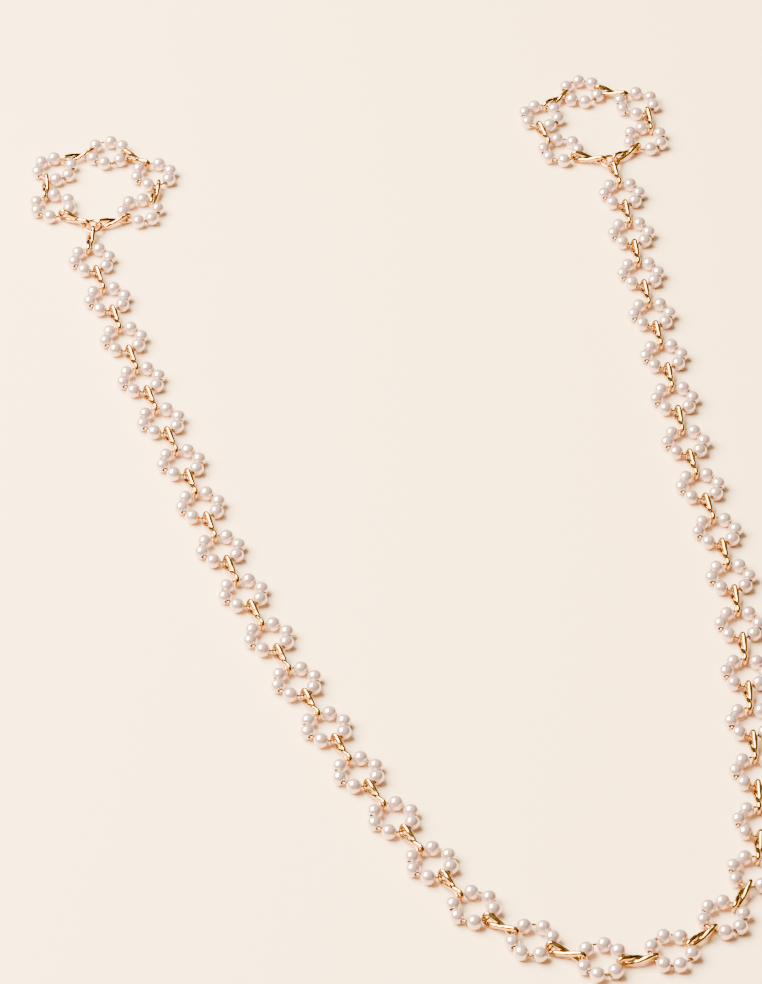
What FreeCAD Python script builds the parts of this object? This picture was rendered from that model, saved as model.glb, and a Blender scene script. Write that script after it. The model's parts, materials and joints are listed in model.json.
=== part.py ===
# Eyeglasses chain strap: rings of six threaded pearls joined by figure-eight wire links,
# with a round jump ring and a closed temple loop of the same chain at each end.
# Millimetres, +Z up, the strap lies flat on the table and +Y points away from the wearer's chest.
import FreeCAD, Part
import os
from math import sin, cos, exp, pi, radians, sqrt, atan2
V = FreeCAD.Vector
os.makedirs("parts", exist_ok=True)

# ---- driving dimensions -------------------------------------------------------------
RINGS = 36              # pearl rings along the strap
PEARL_D = 3.0           # bead diameter
BORE_D = 0.9            # straight hole through each bead
PEARL_R = 3.84          # radius of the circle of bead centres
WIRE_D = 0.45           # wire of a pearl ring
WIRE_R = 3.97           # radius of that wire's centreline
PEARL_Z = PEARL_D / 2   # height of a ring's plane
SIDE_A = (40.5, 87.0, 143.0)        # bead angles of one group of three, from the ring's axis
SIDE_B = (-40.0, -95.0, -143.0)     # the other group, spread by the crimp tube
CRIMP_D, CRIMP_BORE, CRIMP_L = 0.9, 0.52, 0.42  # tube that joins the wire's ends, inside SIDE_B
LINK_D = 0.95           # wire of a figure-eight link
LINK_X = 3.8            # half length of a link's centreline
LINK_W = 1.3            # half width of its corner points
LINK_N = 0.53           # half distance between the two strands where they cross
LINK_CORNER, LINK_CROSS = 0.85, 3.0 # bend radii
LINK_Z = 1.5            # height of a link's centre
LEAN = 14.0             # how far a link leans over from upright, degrees
SLACK = 0.12            # play of each link end on the wire it holds
LOOSE, LOOSE_AT, LOOSE_WIDE = 0.33, 20.5, 2.8   # the links round the bight's turn aren't pulled tight
JUMP_R, JUMP_D = 1.95, 0.7          # jump ring: centreline radius and wire
LOOP_RINGS, LOOP_STEP = 5, 64.0     # pearl rings in a temple loop and their spacing in degrees
LOOP_HOOK = 5.0         # how far a link slides round the wire towards the loop's middle, degrees
# Bead angles of the rings in the bight's turn, where the links pull sideways and push them along.
PUSHED = {18: ((42.0, 88.5, 144.5), (-41.9, -95.3, -141.9)),
          20: ((40.0, 86.5, 139.2), (-41.0, -94.5, -141.5)),
          21: ((40.8, 87.2, 142.4), (-40.7, -95.7, -143.7))}

HOOK = LINK_X - LINK_D / 2 - WIRE_D / 2 - SLACK         # link centre to the ring wire it holds
HOOK_JUMP = LINK_X - LINK_D / 2 - JUMP_D / 2 - SLACK    # link centre to the jump ring's wire

# The lie of the strap: both arms run down from the glasses to a bight at the front right.
ROUTE = [(-66, 92), (-63.5, 79), (-59.5, 65), (-50.5, 36), (-41, 9), (-32, -18), (-21.5, -44),
         (-10, -69), (3.5, -94), (10.5, -105.5), (18.5, -116.5), (29, -124), (42, -128.5),
         (54.5, -125.8), (64.5, -117), (70.3, -105), (72, -91), (72, -68), (71.5, -42), (69, -15),
         (64, 11), (60.5, 39), (56.5, 68), (53.5, 95), (51.5, 110)]
START = 16.0            # distance along the route of the first ring's centre

# ---- the route ----------------------------------------------------------------------
curve = Part.BSplineCurve()
curve.interpolate([V(x, y, 0) for x, y in ROUTE])
edge = curve.toShape()


def at(s):
    """Point and unit heading at distance s along the route."""
    u = curve.parameterAtDistance(s, edge.FirstParameter)
    t = curve.tangent(u)[0]
    return curve.value(u), V(t.x, t.y, 0).normalize()


def hold(i):
    """How far link i's middle is from each ring wire it holds; link 1 joins rings 1 and 2."""
    return HOOK - LOOSE * exp(-((i - LOOSE_AT) / LOOSE_WIDE) ** 2)


def stations():
    """Ring centres and headings, each one link's reach from the last."""
    s, out = START, []
    c, h = at(s)
    out.append((c, h))
    for i in range(RINGS - 1):
        lo, hi = s + 9.0, s + 18.0
        a = c + h * WIRE_R
        for k in range(40):
            m = (lo + hi) / 2
            c2, h2 = at(m)
            if (c2 - h2 * WIRE_R - a).Length < 2 * hold(i + 1):
                lo = m
            else:
                hi = m
        s = (lo + hi) / 2
        c, h = at(s)
        out.append((c, h))
    return out


def turn(v, deg):
    a = radians(deg)
    return V(v.x * cos(a) - v.y * sin(a), v.x * sin(a) + v.y * cos(a), 0)


# ---- shapes -------------------------------------------------------------------------
def bead_shape():
    """A pearl turned about its bore, which runs along X."""
    r, b = PEARL_D / 2, BORE_D / 2
    h = sqrt(r * r - b * b)
    skin = Part.Arc(V(-h, 0, b), V(0, 0, r), V(h, 0, b)).toShape()
    wall = Part.makeLine(V(h, 0, b), V(-h, 0, b))
    return Part.Face(Part.Wire([skin, wall])).revolve(V(0, 0, 0), V(1, 0, 0), 360)


BEAD = bead_shape()


def bead(c, axis, deg):
    """One pearl, threaded on the ring with its bore along the wire's direction."""
    out = turn(axis, deg)
    s = BEAD.copy()
    s.rotate(V(0, 0, 0), V(0, 0, 1), atan2(out.y, out.x) * 180 / pi + 90)
    s.translate(V(c.x, c.y, PEARL_Z) + out * PEARL_R)
    return s


def crimp(c, axis, deg):
    out = turn(axis, deg)
    p = V(c.x, c.y, PEARL_Z) + out * WIRE_R
    along = turn(out, 90)
    p = p - along * (CRIMP_L / 2)
    tube = Part.makeCylinder(CRIMP_D / 2, CRIMP_L, p, along)
    bore = Part.makeCylinder(CRIMP_BORE / 2, CRIMP_L * 3, p - along * CRIMP_L, along)
    return tube.cut(bore).Solids[0]


def pearl_ring(c, h, k):
    """Closed wire ring, six bored pearls and the crimp tube, as separate solids."""
    axis = h if h.y < 0 else h * -1.0
    # the beads sit where they have slid to: a degree or two either way
    a, b = 1.6 * sin(2.3 * k), 1.6 * sin(1.7 * k + 1.0)
    wire = Part.makeTorus(WIRE_R, WIRE_D / 2, V(c.x, c.y, PEARL_Z), V(0, 0, 1))
    side_a, side_b = PUSHED.get(k + 1, ([d + a for d in SIDE_A], [d + b for d in SIDE_B]))
    return ([wire] + [bead(c, axis, d) for d in side_a] + [bead(c, axis, d) for d in side_b]
            + [crimp(c, axis, (side_b[0] + side_b[1]) / 2)])


def rounded(points, radii):
    """Closed wire of straight runs joined by tangent arcs at the given points."""
    n, ends, arcs = len(points), [], []
    for i in range(n):
        p, r = points[i], radii[i]
        a = (points[i - 1] - p).normalize()
        b = (points[(i + 1) % n] - p).normalize()
        half = a.getAngle(b) / 2
        cut = r / (sin(half) / cos(half))
        mid = (a + b).normalize()
        centre = p + mid * (r / sin(half))
        ends.append((p + a * cut, p + b * cut))
        arcs.append(Part.Arc(p + a * cut, centre - mid * r, p + b * cut).toShape())
    edges = []
    for i in range(n):
        edges.append(arcs[i])
        p, q = ends[i][1], ends[(i + 1) % n][0]
        if (q - p).Length > 1e-6:
            edges.append(Part.makeLine(p, q))
    return edges


def link_shape():
    """Figure-eight link about its own centre: length along X, eyes open along Y, width in Z."""
    x, w, n = LINK_X, LINK_W, LINK_N
    pts = [V(0, -n, 0), V(x, 0, w), V(x, 0, -w), V(0, n, 0), V(-x, 0, w), V(-x, 0, -w)]
    rad = [LINK_CROSS, LINK_CORNER, LINK_CORNER] * 2
    runs = []
    for e in rounded(pts, rad):
        start, way = e.valueAt(e.FirstParameter), e.tangentAt(e.FirstParameter)
        disc = Part.Face(Part.Wire(Part.makeCircle(LINK_D / 2, start, way)))
        if hasattr(e.Curve, "Radius"):
            bend = (e.LastParameter - e.FirstParameter) * 180 / pi
            runs.append(disc.revolve(e.Curve.Center, e.Curve.Axis, bend))
        else:
            runs.append(disc.extrude(way * e.Length))
    return runs[0].fuse(runs[1:]).Solids[0]


LINK = link_shape()


def link(p, q, lean=LEAN):
    """A link laid between the two wire points p and q."""
    d = q - p
    d = V(d.x, d.y, 0)
    s = LINK.copy()
    s.rotate(V(0, 0, 0), V(1, 0, 0), -lean if d.y < 0 else lean)
    s.rotate(V(0, 0, 0), V(0, 0, 1), atan2(d.y, d.x) * 180 / pi)
    mid = (p + q) * 0.5
    s.translate(V(mid.x, mid.y, LINK_Z))
    return s


def jump_ring(c):
    return Part.makeTorus(JUMP_R, JUMP_D / 2, V(c.x, c.y, LINK_Z), V(0, 0, 1))


def temple_loop(jump, out, k0):
    """Five pearl rings and six links closed on the jump ring; out points away from the strap."""
    chord = 2 * HOOK + 2 * WIRE_R * cos(radians(LOOP_STEP / 2 - LOOP_HOOK))
    radius = chord / (2 * sin(radians(LOOP_STEP / 2)))
    first = 180 - LOOP_STEP * (LOOP_RINGS - 1) / 2      # angle of the end rings from the strap side
    # the end link points at the jump ring's centre: find how far out the loop's centre lies
    c1 = turn(V(1, 0, 0), first) * radius
    h1 = c1 + turn(V(1, 0, 0), first - 90 - LOOP_HOOK) * WIRE_R
    reach = HOOK + HOOK_JUMP + JUMP_R
    off = h1.x + sqrt(reach ** 2 - h1.y ** 2)
    centre = jump + out * off
    side = out * -1.0                                   # from the loop's centre to the jump ring
    beads, links, cs = [], [], []
    for j in range(LOOP_RINGS):
        ang = first + LOOP_STEP * j
        r = turn(side, ang)
        cs.append((centre + r * radius, turn(r, -90), turn(r, 90)))
    for j, (c, near, far) in enumerate(cs):
        beads += pearl_ring(c, near, k0 + j)
    # each link grips its ring a little towards the loop's middle
    grip = [(c + turn(near, -LOOP_HOOK) * WIRE_R, c + turn(far, LOOP_HOOK) * WIRE_R)
            for c, near, far in cs]
    for j in range(LOOP_RINGS - 1):
        links.append(link(grip[j][1], grip[j + 1][0], 6.0))
    for g in (grip[0][0], grip[-1][1]):
        d = (jump - g).normalize()
        links.append(link(g, g + d * (2 * HOOK), 0.0))
    return beads, links, centre


# ---- build --------------------------------------------------------------------------
st = stations()
nodes = {}
grips = [(c - h * WIRE_R, c + h * WIRE_R) for c, h in st]
between = [link(grips[i][1], grips[i + 1][0]) for i in range(RINGS - 1)]

ends = {}
for side in ("left", "right"):
    c, h = st[0] if side == "left" else st[-1]
    out = h * -1.0 if side == "left" else h
    out = turn(out, -20.0 if side == "left" else 5.0)    # the end link swings inwards a little
    g = grips[0][0] if side == "left" else grips[-1][1]
    jump = g + out * (HOOK + HOOK_JUMP + JUMP_R)
    end_link = link(g, g + out * (2 * HOOK))
    beads, links, centre = temple_loop(jump, out, 40 if side == "left" else 50)
    nodes["jump_ring_" + side] = [jump_ring(jump)]
    nodes["loop_pearls_" + side] = beads
    nodes["loop_links_" + side] = links + ([end_link] if side == "right" else [])
    ends[side] = (g, out, jump, centre, end_link)

for i, (c, h) in enumerate(st):
    nodes["pearl_ring_%02d" % (i + 1)] = pearl_ring(c, h, i)
for k in range(RINGS // 2):
    before = ends["left"][4] if k == 0 else between[2 * k - 1]
    nodes["link_pair_%02d" % (k + 1)] = [before, between[2 * k]]

# ---- centre the strap over the origin, resting on z = 0 -----------------------------
box = FreeCAD.BoundBox()
for shapes in nodes.values():
    for s in shapes:
        box.add(s.optimalBoundingBox(False, False))
shift = V(-box.Center.x, -box.Center.y, -box.ZMin)
for name, shapes in nodes.items():
    for s in shapes:
        s.translate(shift)
    Part.makeCompound(shapes).exportStep("parts/%s.step" % name)
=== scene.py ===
# Eyeglasses chain strap: pearls, wire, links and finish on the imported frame.
import bpy, bmesh, json
from math import sin, cos, pi, radians, atan2, sqrt
from mathutils import Vector, Matrix


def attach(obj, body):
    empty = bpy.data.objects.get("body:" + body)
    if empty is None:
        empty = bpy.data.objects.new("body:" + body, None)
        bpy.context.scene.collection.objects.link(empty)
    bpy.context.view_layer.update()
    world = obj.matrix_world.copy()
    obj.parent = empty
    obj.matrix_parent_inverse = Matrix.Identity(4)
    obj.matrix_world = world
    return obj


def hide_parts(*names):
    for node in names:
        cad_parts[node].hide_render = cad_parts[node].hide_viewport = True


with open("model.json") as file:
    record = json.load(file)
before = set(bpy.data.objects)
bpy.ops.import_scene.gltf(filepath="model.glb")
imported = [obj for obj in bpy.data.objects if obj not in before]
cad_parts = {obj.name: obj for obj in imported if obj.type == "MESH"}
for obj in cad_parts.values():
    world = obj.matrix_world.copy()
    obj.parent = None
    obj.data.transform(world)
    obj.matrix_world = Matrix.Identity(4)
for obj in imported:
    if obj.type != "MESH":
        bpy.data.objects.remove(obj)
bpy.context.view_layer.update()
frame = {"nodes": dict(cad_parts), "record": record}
MM = 0.001

# ---- camera -------------------------------------------------------------------------
EL = radians(42.0)
AIM = Vector((0.0, -0.003, 0.0015))
FAR = 0.9856
cam = bpy.data.cameras.new("camera")
cam.sensor_fit = "HORIZONTAL"
cam.sensor_width = 36.0
cam.lens = 226.8
camera = bpy.data.objects.new("camera", cam)
bpy.context.scene.collection.objects.link(camera)
camera.location = AIM + Vector((0, -cos(EL), sin(EL))) * FAR
camera.rotation_euler = (radians(90) - EL, 0, 0)
cam.clip_start, cam.clip_end = 0.05, 20
bpy.context.scene.camera = camera

# ---- sizes, as in the CAD -----------------------------------------------------------
PEARL_D, BORE_D, PEARL_R = 3.0 * MM, 0.9 * MM, 3.84 * MM
WIRE_D, WIRE_R = 0.45 * MM, 3.97 * MM
CRIMP_D, CRIMP_L = 0.9 * MM, 0.42 * MM
CRIMP_BORE = 0.52 * MM
LINK_D, LINK_X, LINK_W, LINK_N = 0.95 * MM, 3.8 * MM, 1.3 * MM, 0.53 * MM
LINK_CORNER, LINK_CROSS = 0.85 * MM, 3.0 * MM   # bend radii
JUMP_R, JUMP_D = 1.95 * MM, 0.7 * MM
SWELL, SWELL_AT, SWELL_WIDE = 0.25, 1.6 * MM, 1.1 * MM    # extra thickness of a link's strands


# ---- materials ----------------------------------------------------------------------
def new_material(name):
    m = bpy.data.materials.new(name)
    m.use_nodes = True
    nt = m.node_tree
    bsdf = nt.nodes["Principled BSDF"]
    return m, nt, bsdf


def pearl_material():
    """Lacquered imitation pearl: lustrous body, clear coat, faint clouds of colour, orange peel."""
    m, nt, b = new_material("pearl_lacquer")
    tc = nt.nodes.new("ShaderNodeTexCoord")
    cloud = nt.nodes.new("ShaderNodeTexNoise")
    cloud.inputs["Scale"].default_value = 420.0
    cloud.inputs["Detail"].default_value = 3.0
    nt.links.new(tc.outputs["Object"], cloud.inputs["Vector"])
    ramp = nt.nodes.new("ShaderNodeValToRGB")
    ramp.color_ramp.elements[0].position = 0.3
    ramp.color_ramp.elements[0].color = (0.64, 0.45, 0.385, 1)
    ramp.color_ramp.elements[1].position = 0.7
    ramp.color_ramp.elements[1].color = (0.79, 0.59, 0.515, 1)
    nt.links.new(cloud.outputs["Fac"], ramp.inputs["Fac"])
    nt.links.new(ramp.outputs["Color"], b.inputs["Base Color"])
    peel = nt.nodes.new("ShaderNodeTexNoise")
    peel.inputs["Scale"].default_value = 2600.0
    peel.inputs["Detail"].default_value = 2.0
    nt.links.new(tc.outputs["Object"], peel.inputs["Vector"])
    bump = nt.nodes.new("ShaderNodeBump")
    bump.inputs["Strength"].default_value = 0.06
    bump.inputs["Distance"].default_value = 0.00002
    nt.links.new(peel.outputs["Fac"], bump.inputs["Height"])
    nt.links.new(bump.outputs["Normal"], b.inputs["Normal"])
    b.inputs["Metallic"].default_value = 0.55
    b.inputs["Roughness"].default_value = 0.13
    b.inputs["IOR"].default_value = 1.56
    b.inputs["Specular IOR Level"].default_value = 0.6
    b.inputs["Coat Weight"].default_value = 1.0
    b.inputs["Coat Roughness"].default_value = 0.04
    b.inputs["Coat IOR"].default_value = 1.9
    b.inputs["Subsurface Weight"].default_value = 0.25
    b.inputs["Subsurface Radius"].default_value = (1.0, 0.7, 0.55)
    b.inputs["Subsurface Scale"].default_value = 0.0006
    return m


def gold_material(name, rough, colour):
    """Polished gold plate: soft tarnish clouds in colour, fine drawing marks in the gloss."""
    m, nt, b = new_material(name)
    tc = nt.nodes.new("ShaderNodeTexCoord")
    cloud = nt.nodes.new("ShaderNodeTexNoise")
    cloud.inputs["Scale"].default_value = 700.0
    cloud.inputs["Detail"].default_value = 3.0
    nt.links.new(tc.outputs["Object"], cloud.inputs["Vector"])
    ramp = nt.nodes.new("ShaderNodeValToRGB")
    r, g, bl = colour
    ramp.color_ramp.elements[0].position = 0.3
    ramp.color_ramp.elements[0].color = (r * 0.94, g * 0.88, bl * 0.8, 1)
    ramp.color_ramp.elements[1].position = 0.72
    ramp.color_ramp.elements[1].color = (r, g, bl, 1)
    nt.links.new(cloud.outputs["Fac"], ramp.inputs["Fac"])
    nt.links.new(ramp.outputs["Color"], b.inputs["Base Color"])
    gloss = nt.nodes.new("ShaderNodeMapRange")
    gloss.inputs["From Min"].default_value = 0.3
    gloss.inputs["From Max"].default_value = 0.7
    gloss.inputs["To Min"].default_value = rough * 0.75
    gloss.inputs["To Max"].default_value = rough * 1.35
    nt.links.new(cloud.outputs["Fac"], gloss.inputs["Value"])
    nt.links.new(gloss.outputs["Result"], b.inputs["Roughness"])
    fine = nt.nodes.new("ShaderNodeTexNoise")
    fine.inputs["Scale"].default_value = 4200.0
    fine.inputs["Detail"].default_value = 2.0
    nt.links.new(tc.outputs["Object"], fine.inputs["Vector"])
    bump = nt.nodes.new("ShaderNodeBump")
    bump.inputs["Strength"].default_value = 0.10
    bump.inputs["Distance"].default_value = 0.00001
    nt.links.new(fine.outputs["Fac"], bump.inputs["Height"])
    nt.links.new(bump.outputs["Normal"], b.inputs["Normal"])
    b.inputs["Metallic"].default_value = 1.0
    return m


PEARL = pearl_material()
GOLD = gold_material("gold_plate", 0.11, (0.68, 0.42, 0.12))
# painted shade: the ring wire and crimps use the same gold with a darker base colour, standing in
# for the dark room the thin wire reflects
WIRE_SHADED_GOLD = gold_material("gold_wire", 0.16, (0.46, 0.27, 0.08))


# ---- templates ----------------------------------------------------------------------
def lathe(profile, turns):
    """Closed surface of revolution about X from a closed profile of (x, radius)."""
    vs, fs, n = [], [], len(profile)
    for k in range(turns):
        a = 2 * pi * k / turns
        for x, r in profile:
            vs.append(Vector((x, r * cos(a), r * sin(a))))
    for k in range(turns):
        k2 = (k + 1) % turns
        for j in range(n):
            j2 = (j + 1) % n
            fs.append((k * n + j, k * n + j2, k2 * n + j2, k2 * n + j))
    return vs, fs


def pearl_template():
    """A bead with its bore along X; the lacquer rounds the mouth of the bore."""
    r, b = PEARL_D / 2, BORE_D / 2
    lip = 0.06 * MM
    edge = atan2(b + lip, sqrt(r * r - (b + lip) ** 2))
    prof = []
    for i in range(23):
        a = pi - edge - (pi - 2 * edge) * i / 22
        prof.append((r * cos(a), r * sin(a)))
    x = prof[-1][0]
    prof.append((x - 0.01 * MM, b + 0.02 * MM))
    prof.append((x - 0.05 * MM, b))
    prof.append((-x + 0.05 * MM, b))
    prof.append((-x + 0.01 * MM, b + 0.02 * MM))
    return lathe(prof, 40)


def crimp_template():
    """A short tube, pressed a little narrower in the middle."""
    h, r, b = CRIMP_L / 2, CRIMP_D / 2, CRIMP_BORE / 2
    prof = [(-h, r - 0.05 * MM), (-h + 0.04 * MM, r), (-h * 0.4, r - 0.01 * MM), (0, r - 0.05 * MM),
            (h * 0.4, r - 0.01 * MM), (h - 0.04 * MM, r), (h, r - 0.05 * MM), (h, b), (-h, b)]
    return lathe(prof, 24)


def torus(major, minor, turns, sides, gap=0.0):
    """Wire ring about Z; with a gap it is a cut ring with flat ends."""
    vs, fs = [], []
    steps = turns + 1 if gap else turns
    for k in range(steps):
        a = gap / 2 + (2 * pi - gap) * k / turns
        for j in range(sides):
            c = 2 * pi * j / sides
            d = major + minor * cos(c)
            vs.append(Vector((d * cos(a), d * sin(a), minor * sin(c))))
    for k in range(steps if not gap else steps - 1):
        k2 = (k + 1) % steps
        for j in range(sides):
            j2 = (j + 1) % sides
            fs.append((k * sides + j, k2 * sides + j, k2 * sides + j2, k * sides + j2))
    if gap:
        fs.append(tuple(range(sides)))
        fs.append(tuple((steps - 1) * sides + sides - 1 - j for j in range(sides)))
    return vs, fs


CROSS_STEPS, CORNER_STEPS = 8, 18       # points round each bend of a link
RUN_STEP = 0.3 * MM                     # longest step along its straight runs


def link_template():
    """Figure-eight link about its centre: length along X, eyes in the XZ plane."""
    x, w, n = LINK_X, LINK_W, LINK_N
    pts = [Vector(p) for p in ((0, -n, 0), (x, 0, w), (x, 0, -w),
                               (0, n, 0), (-x, 0, w), (-x, 0, -w))]
    rad = [LINK_CROSS, LINK_CORNER, LINK_CORNER] * 2
    path = []
    for i, p in enumerate(pts):
        a = (pts[i - 1] - p).normalized()
        b = (pts[(i + 1) % 6] - p).normalized()
        half = a.angle(b) / 2
        mid = (a + b).normalized()
        centre = p + mid * (rad[i] / sin(half))
        cut = rad[i] / (sin(half) / cos(half))
        u, v = p + a * cut - centre, p + b * cut - centre
        sweep = u.angle(v)
        steps = CROSS_STEPS if i % 3 == 0 else CORNER_STEPS
        for k in range(steps + 1):
            t = k / steps
            path.append(centre + (u * sin((1 - t) * sweep) + v * sin(t * sweep)) / sin(sweep))
    # the drawn wire swells a little between the crossing and the eye
    full = []
    for i, p in enumerate(path):
        q = path[(i + 1) % len(path)]
        runs = max(1, round((q - p).length / RUN_STEP))
        full += [p.lerp(q, k / runs) for k in range(runs)]
    curve = bpy.data.curves.new("link_template", "CURVE")
    curve.dimensions = "3D"
    curve.bevel_depth = LINK_D / 2
    curve.bevel_resolution = 7
    s = curve.splines.new("POLY")
    s.points.add(len(full) - 1)
    for q, pt in zip(full, s.points):
        pt.co = (q.x, q.y, q.z, 1)
        away = (abs(q.x) - SWELL_AT) / SWELL_WIDE
        pt.radius = 1 + SWELL * max(0.0, 1 - away * away) ** 2
    s.use_cyclic_u = True
    o = bpy.data.objects.new("link_template", curve)
    bpy.context.scene.collection.objects.link(o)
    bpy.context.view_layer.update()
    me = bpy.data.meshes.new_from_object(o.evaluated_get(bpy.context.evaluated_depsgraph_get()))
    vs = [v.co.copy() for v in me.vertices]
    fs = [tuple(p.vertices) for p in me.polygons]
    bpy.data.objects.remove(o)
    bpy.data.curves.remove(curve)
    bpy.data.meshes.remove(me)
    return vs, fs


BEAD = pearl_template()
CRIMP = crimp_template()
HOOP = torus(WIRE_R, WIRE_D / 2, 96, 14)
JUMP = torus(JUMP_R, JUMP_D / 2, 72, 20, gap=radians(1.6))
LINK = link_template()


def build(name, parts, material, body, slot, *nodes):
    """One object from placed copies of templates; it rides on the body and stands for the nodes."""
    vs, fs = [], []
    for (tv, tf), m in parts:
        k = len(vs)
        vs += [m @ v for v in tv]
        fs += [tuple(i + k for i in f) for f in tf]
    me = bpy.data.meshes.new(name)
    me.from_pydata(vs, [], fs)
    bm = bmesh.new()
    bm.from_mesh(me)
    bmesh.ops.recalc_face_normals(bm, faces=bm.faces)
    bm.to_mesh(me)
    bm.free()
    me.polygons.foreach_set("use_smooth", [True] * len(me.polygons))
    me.materials.append(material)
    o = bpy.data.objects.new(name, me)
    bpy.context.scene.collection.objects.link(o)
    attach(o, body)
    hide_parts(*nodes)
    return o


# ---- where the CAD pieces are -------------------------------------------------------
HOOP_OVER, BEAD_OVER = 6 * MM, 2 * MM   # only a ring's wire is this wide, only beads this high
EYE_FROM = 2.2 * MM                     # a link's eyes are further than this from its middle
JUMP_TURN = 2.4                         # where a jump ring's cut shows, radians


def solids(node):
    """Vertices of each separate solid of a CAD node."""
    me = frame["nodes"][node].data
    key, parent = {}, []

    def find(i):
        while parent[i] != i:
            parent[i] = parent[parent[i]]
            i = parent[i]
        return i

    ids = []
    for v in me.vertices:
        k = tuple(round(c * 1e6) for c in v.co)
        if k not in key:
            key[k] = len(parent)
            parent.append(len(parent))
        ids.append(key[k])
    for p in me.polygons:
        a = find(ids[p.vertices[0]])
        for q in p.vertices[1:]:
            parent[find(ids[q])] = a
    groups = {}
    for i, v in enumerate(me.vertices):
        groups.setdefault(find(ids[i]), []).append(v.co.copy())
    return list(groups.values())


def middle(vs):
    """Middle and size of the box round some points."""
    lo = [min(v[i] for v in vs) for i in range(3)]
    hi = [max(v[i] for v in vs) for i in range(3)]
    return Vector([(a + b) / 2 for a, b in zip(lo, hi)]), Vector([b - a for a, b in zip(lo, hi)])


def placed(c, angle, lean=0.0):
    """Where a template goes: leant about its X, turned about Z, moved to c."""
    return Matrix.Translation(c) @ Matrix.Rotation(angle, 4, "Z") @ Matrix.Rotation(lean, 4, "X")


def ring_parts(node):
    """Placed beads and placed wire of every pearl ring in a node."""
    hoops, small = [], []
    for vs in solids(node):
        c, size = middle(vs)
        (hoops if size.x > HOOP_OVER else small).append((c, size))
    beads, wires = [], []
    for h, _ in hoops:
        wires.append((HOOP, Matrix.Translation(h)))
    for c, size in small:
        h = min((q for q, _ in hoops), key=lambda q: (q - c).length)
        a = atan2(c.y - h.y, c.x - h.x)
        out = Vector((cos(a), sin(a), 0))
        if size.z > BEAD_OVER:
            beads.append((BEAD, placed(h + out * PEARL_R, a + pi / 2)))
        else:
            wires.append((CRIMP, placed(h + out * WIRE_R, a + pi / 2)))
    return beads, wires


def link_parts(node):
    """Placed links of a node, turned and leant as the CAD's solids are."""
    parts = []
    for vs in solids(node):
        c, _ = middle(vs)
        xx = sum((v.x - c.x) ** 2 for v in vs)
        yy = sum((v.y - c.y) ** 2 for v in vs)
        xy = sum((v.x - c.x) * (v.y - c.y) for v in vs)
        a = 0.5 * atan2(2 * xy, xx - yy)
        if sin(a) < 0:
            a += pi
        along = Vector((cos(a), sin(a), 0))
        side = Vector((-sin(a), cos(a), 0))
        # the lean about the link's length shows in its eyes, away from the crossing
        eyes = [v for v in vs if abs((v - c).dot(along)) > EYE_FROM]
        zz = sum((v.z - c.z) ** 2 for v in eyes)
        ss = sum((v - c).dot(side) ** 2 for v in eyes)
        zs = sum((v.z - c.z) * (v - c).dot(side) for v in eyes)
        tilt = 0.5 * atan2(2 * zs, zz - ss)
        parts.append((LINK, placed(c, a, -tilt)))
    return parts


# ---- the strap ----------------------------------------------------------------------
body_of = {n: b for b, ns in frame["record"]["behaviour"]["bodies"].items() for n in ns}
for node in sorted(frame["nodes"]):
    body = body_of[node]
    if "pearl" in node:
        beads, wires = ring_parts(node)
        build(node + "_beads", beads, PEARL, body, "pearl", node)
        build(node + "_wire", wires, WIRE_SHADED_GOLD, body, "gold", node)
    elif "jump" in node:
        c, _ = middle(solids(node)[0])
        build(node + "_wire", [(JUMP, placed(c, JUMP_TURN))], GOLD, body, "gold", node)
    else:
        build(node + "_wire", link_parts(node), GOLD, body, "gold", node)

# ---- floor, light -------------------------------------------------------------------
FLOOR = 4.0     # half its side, metres
me = bpy.data.meshes.new("floor")
me.from_pydata([(-FLOOR, -FLOOR, 0), (FLOOR, -FLOOR, 0), (FLOOR, FLOOR, 0), (-FLOOR, FLOOR, 0)],
               [], [(0, 1, 2, 3)])
floor = bpy.data.objects.new("floor", me)
bpy.context.scene.collection.objects.link(floor)
fm, _, fb = new_material("floor_cream")
fb.inputs["Base Color"].default_value = (0.96, 0.73, 0.47, 1)
fb.inputs["Roughness"].default_value = 0.55
me.materials.append(fm)

KEY_FROM, KEY_FAR = Vector((-0.60, 0.08, 0.80)).normalized(), 0.95
light = bpy.data.lights.new("key", "AREA")
light.shape = "RECTANGLE"
light.size, light.size_y = 0.95, 0.72
light.energy = 104
light.color = (1.0, 0.88, 0.72)
key = bpy.data.objects.new("key", light)
bpy.context.scene.collection.objects.link(key)
key.location = KEY_FROM * KEY_FAR
key.rotation_euler = KEY_FROM.to_track_quat("Z", "Y").to_euler()

# a dark room, lighter overhead and towards the key
world = bpy.data.worlds.new("studio")
bpy.context.scene.world = world
world.use_nodes = True
wnt = world.node_tree
bg = wnt.nodes["Background"]
tc = wnt.nodes.new("ShaderNodeTexCoord")
up = wnt.nodes.new("ShaderNodeVectorMath")
up.operation = "DOT_PRODUCT"
up.inputs[1].default_value = (-0.30, 0.10, 0.90)
wnt.links.new(tc.outputs["Generated"], up.inputs[0])
ramp = wnt.nodes.new("ShaderNodeValToRGB")
ramp.color_ramp.elements[0].position = 0.0
ramp.color_ramp.elements[0].color = (0.012, 0.008, 0.006, 1)
ramp.color_ramp.elements[1].position = 1.0
ramp.color_ramp.elements[1].color = (0.60, 0.56, 0.50, 1)
e = ramp.color_ramp.elements.new(0.35)
e.color = (0.05, 0.037, 0.027, 1)
wnt.links.new(up.outputs["Value"], ramp.inputs["Fac"])
wnt.links.new(ramp.outputs["Color"], bg.inputs["Color"])
bg.inputs["Strength"].default_value = 1.0
